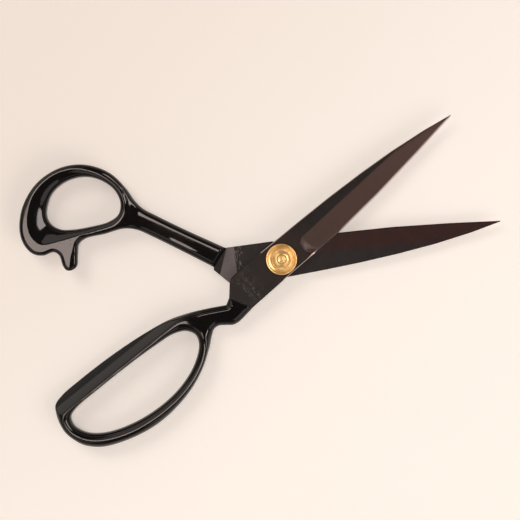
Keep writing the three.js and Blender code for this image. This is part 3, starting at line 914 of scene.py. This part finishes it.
def upper_steel_look():
    """Dark red-brown flat, paler ground bevel, and a scuffed patch behind the pivot."""
    look, mottle = black_steel_look("upper_black_steel")
    x, y, z = (look.axes.outputs[axis] for axis in "XYZ")
    mottled = look.product(mottle, MOTTLE_SHARE)
    flat = look.blend(look.spread(x, *UPPER_BLACK_X), UPPER_BROWN, UPPER_BLACK)
    flat = look.blend(look.spread(x, *UPPER_HEEL_X, 1, 0), flat, UPPER_HEEL)
    flat = look.blend(mottled, flat, UPPER_MOTTLE)
    bevel = look.blend(look.spread(x, *BEVEL_FRONT_X), BEVEL_REAR, BEVEL_FRONT)
    bevel = look.blend(mottled, bevel, BEVEL_MOTTLE)
    colour = look.blend(ground_share(look, x, z), flat, bevel)
    bloom = look.spread(look.noise(2.2, detail=3), 0.45, 0.8)
    haze = look.product(look.window(x, *HAZE_SPAN, 2), bloom)
    colour = look.blend(look.product(haze, HAZE_SHARE), colour, HAZE)
    look.colour(look.blend(scuff_share(look, x, y), colour, SCUFF))
    return look.material


def lower_steel_look():
    """Red-brown towards the edge, greyer towards the spine, with a painted reflection behind: a
    light-grey patch, crossed by scratches.
    """
    look, mottle = black_steel_look("lower_black_steel")
    x, y = (look.axes.outputs[axis] for axis in "XY")
    towards_spine = look.total(look.product(x, LOWER_GREY_LEAN), y)
    browns = look.blend(mottle, *LOWER_BROWNS)
    greys = look.blend(mottle, *LOWER_GREYS)
    colour = look.blend(look.spread(towards_spine, *LOWER_GREY_Y), browns, greys)
    on_heel = look.spread(x, *LOWER_HEEL_X, 1, 0)
    colour = look.blend(on_heel, colour, look.blend(mottle, *LOWER_HEELS))
    # The painted reflection, a light-grey patch, runs from a slanting line at the casting to a ragged
    # one crossed by scratches.
    slant = look.total(look.product(y, SHEEN_SLANT), x)
    colour = look.blend(look.spread(slant, *SHEEN_START, 1, 0), colour, UNDER_CASTING)
    wander = look.product(look.noise(1.6, detail=3, stretch=(1, 0.25, 1)), SHEEN_RAGGED)
    before_end = look.spread(look.total(wander, x), *SHEEN_END, 1, 0)
    sheen = look.product(look.spread(slant, *SHEEN_START), before_end)
    # painted reflection laid over the steel's own colour
    colour = look.blend(sheen, colour, FACET_SHEEN)
    strokes = look.spread(look.noise(0.55, detail=2, stretch=(1, 0.18, 1)), 0.55, 0.68)
    strokes = look.product(strokes, look.window(x, *STROKE_SPAN, 1))
    look.colour(look.blend(strokes, colour, STROKE))
    return look.material


def brass_look():
    """Turned brass: fine concentric tool marks, a little tarnish."""
    look = Look("brass", metallic=1)
    look.colour(look.blend(look.spread(look.noise(5, detail=3), 0.35, 0.8), *BRASS_TONES))
    look.roughness(look.spread(look.noise(2.5, detail=2), 0.3, 0.7, 0.30, 0.34))
    rings = look.tree.nodes.new("ShaderNodeTexWave")
    rings.wave_type = "RINGS"
    rings.rings_direction = "Z"
    rings.inputs["Scale"].default_value = 1.1
    rings.inputs["Distortion"].default_value = 0.4
    look.link(look.place.outputs["Vector"], rings.inputs["Vector"])
    look.bump((rings.outputs["Fac"], 0.0008), (look.noise(2.5, detail=1), 0.002))
    return look.material


def honed_look():
    """The bright facet ground along the cutting edge, and the worn corners."""
    look = Look("honed_steel", metallic=1)
    lines = look.noise(0.25, detail=2, stretch=(1, 0.1, 1))
    look.colour(look.blend(lines, *HONED_TONES))
    look.roughness(look.spread(lines, 0.2, 0.8, 0.42, 0.55))
    look.bump((lines, 0.002))
    return look.material


def paper_look():
    """Pale paper with painted shade: its colour darkens evenly towards one side."""
    look = Look("pale_paper")
    x, y = (look.axes.outputs[axis] for axis in "XY")
    fall_x, fall_y = PAPER_SHADE_WAY
    along = look.total(look.product(x, fall_x), look.product(y, fall_y))
    tone = look.blend(look.noise(60, detail=3), *PAPER_TONES)
    # painted shade: the paper's colour darkens evenly towards one side
    tone = look.blend(look.spread(along, *PAPER_SHADE_SPAN, 1, 0), tone, PAPER_SHADE)
    look.colour(tone)
    # painted light: the paper glows in its own colour, painted shade included
    look.link(tone, look.shader.inputs["Emission Color"])
    look.shader.inputs["Emission Strength"].default_value = PAPER_GLOW
    look.roughness(look.spread(look.noise(4, detail=2), 0, 1, 0.85, 0.95))
    return look.material


# ---- build ----
lacquer = lacquer_look()
upper_steel = upper_steel_look()
lower_steel = lower_steel_look()
honed = honed_look()
brass = brass_look()

finger_plan = bow_plan(FINGER_OUTSIDE, FINGER_END, FINGER_OPENING, FINGER_RIDGE)
thumb_plan = bow_plan(THUMB_OUTSIDE, THUMB_END, THUMB_OPENING, FUNNEL_MOUTH)
finger = make_bow("finger_casting", finger_field, finger_plan, FINGER_BOX, HALF_OPENING, lacquer)
thumb = make_bow("thumb_casting", thumb_field, thumb_plan, THUMB_BOX, -HALF_OPENING, lacquer)
upper = make_blade(
    "upper_blade_steel", UPPER_REAR, HALF_OPENING, False, UPPER_BOTTOM, upper_steel, honed
)
lower = make_blade(
    "lower_blade_steel", LOWER_REAR, -HALF_OPENING, True, LOWER_TOP, lower_steel, honed
)
cup = make_turned("cup_washer_brass", brass, CUP_PROFILE, CUP_BOTTOM)
nut = make_turned("pivot_nut_brass", brass, NUT_PROFILE, NUT_BOTTOM, hexed)
bolt = make_turned("pivot_bolt_brass", brass, BOLT_PROFILE)

for piece, body, node, slot in (
    (finger, "upper_half", "finger_bow", "black_lacquer"),
    (thumb, "lower_half", "thumb_bow", "black_lacquer"),
    (upper, "upper_half", "upper_blade", "blackened_steel"),
    (lower, "lower_half", "lower_blade", "blackened_steel"),
    (cup, "lower_half", "cup_washer", "brass"),
    (nut, "lower_half", "pivot_nut", "brass"),
    (bolt, "lower_half", "pivot_bolt", "brass"),
):
    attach(piece, body)
    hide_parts(node)


# ---- stage, in metres ----
VIEW_TURN = math.radians(25.17)  # seen from above, +X leans this far up from the right
VIEW_CENTRE = (-0.0102, 0.00445, 0.008)
VIEW_WIDTH = 0.2704
VIEW_DISTANCE = 1.3
SENSOR_WIDTH = 36  # millimetres
PAPER_HALF = 2000  # half the side of the paper, in millimetres
HORIZON = 0.9  # the world's strength, level and overhead
ZENITH = 0.12
ZENITH_FROM = 0.5  # sine of the height above the horizon where it has faded
WORLD_COLOUR = (1, 0.93, 0.87, 1)
WARM = (1, 0.945, 0.905)
OVERHEAD_WARM = (1, 0.82, 0.74)
GLOSS_WARM = (1, 0.88, 0.83)


def add_camera():
    """Looks straight down on the shears."""
    data = bpy.data.cameras.new("camera")
    data.sensor_width = SENSOR_WIDTH
    data.lens = SENSOR_WIDTH * VIEW_DISTANCE / VIEW_WIDTH
    camera = bpy.data.objects.new("camera", data)
    camera.location = (VIEW_CENTRE[0], VIEW_CENTRE[1], VIEW_CENTRE[2] + VIEW_DISTANCE)
    camera.rotation_euler = (0, 0, -VIEW_TURN)
    bpy.context.scene.collection.objects.link(camera)
    bpy.context.scene.camera = camera


def add_light(name, place, height, size, power, colour, lights=True, mirrored=True):
    """A softbox aimed at the shears, over a place given rightwards and upwards as the camera sees it.
    It can be kept from lighting what is matt, or from being mirrored in what is glossy."""
    data = bpy.data.lights.new(name, "AREA")
    data.shape = "RECTANGLE"
    data.size, data.size_y = size
    data.energy = power
    data.color = colour
    light = bpy.data.objects.new(name, data)
    c, s = math.cos(-VIEW_TURN), math.sin(-VIEW_TURN)
    across, up = place
    where = Vector((c * across - s * up, s * across + c * up, height))
    aim = where.to_track_quat("Z", "Y").to_matrix().to_4x4()
    light.matrix_world = Matrix.Translation(where) @ aim
    light.visible_diffuse = lights
    light.visible_glossy = mirrored
    bpy.context.scene.collection.objects.link(light)


def add_floor():
    corners = [(x * PAPER_HALF, y * PAPER_HALF, 0) for x, y in ((-1, -1), (1, -1), (1, 1), (-1, 1))]
    floor = make_object("floor", corners, [(0, 1, 2, 3)])
    floor.data.materials.append(paper_look())


def add_world():
    """Pale near the horizon and dim overhead."""
    world = bpy.data.worlds.new("studio")
    world.use_nodes = True
    tree = world.node_tree
    background = tree.nodes["Background"]
    place = tree.nodes.new("ShaderNodeTexCoord")
    axes = tree.nodes.new("ShaderNodeSeparateXYZ")
    tree.links.new(place.outputs["Generated"], axes.inputs[0])
    fade = tree.nodes.new("ShaderNodeMapRange")
    fade.inputs["From Max"].default_value = ZENITH_FROM
    fade.inputs["To Min"].default_value = HORIZON
    fade.inputs["To Max"].default_value = ZENITH
    tree.links.new(axes.outputs["Z"], fade.inputs["Value"])
    tree.links.new(fade.outputs["Result"], background.inputs["Strength"])
    background.inputs["Color"].default_value = WORLD_COLOUR
    bpy.context.scene.world = world


add_camera()
add_floor()
add_world()
add_light("key", (-1.6, 1.6), 2.5, (1.5, 1.5), 31, WARM, mirrored=False)
add_light("fill", (0.5, -0.4), 0.6, (0.6, 0.6), 1.0, WARM, mirrored=False)
add_light("overhead_softbox", (-0.2, -0.04), 1.6, (0.24, 0.38), 2.85, OVERHEAD_WARM)
add_light("front_softbox", (0.63, -0.67), 0.81, (0.75, 0.75), 2.5, GLOSS_WARM)
add_light("upper_left_softbox", (-0.55, 0.45), 0.95, (0.75, 0.75), 2.6, GLOSS_WARM, lights=False)
add_light("lower_left_softbox", (-0.55, -0.5), 0.95, (0.75, 0.75), 2.0, GLOSS_WARM, lights=False)
add_light("low_softbox", (-0.76, 0.87), 0.4, (0.9, 0.35), 1.1, GLOSS_WARM, lights=False)
add_light("right_softbox", (0.556, 0.172), 0.8, (0.6, 0.26), 5.4, GLOSS_WARM, lights=False)
bpy.context.scene.view_settings.view_transform = "Standard"
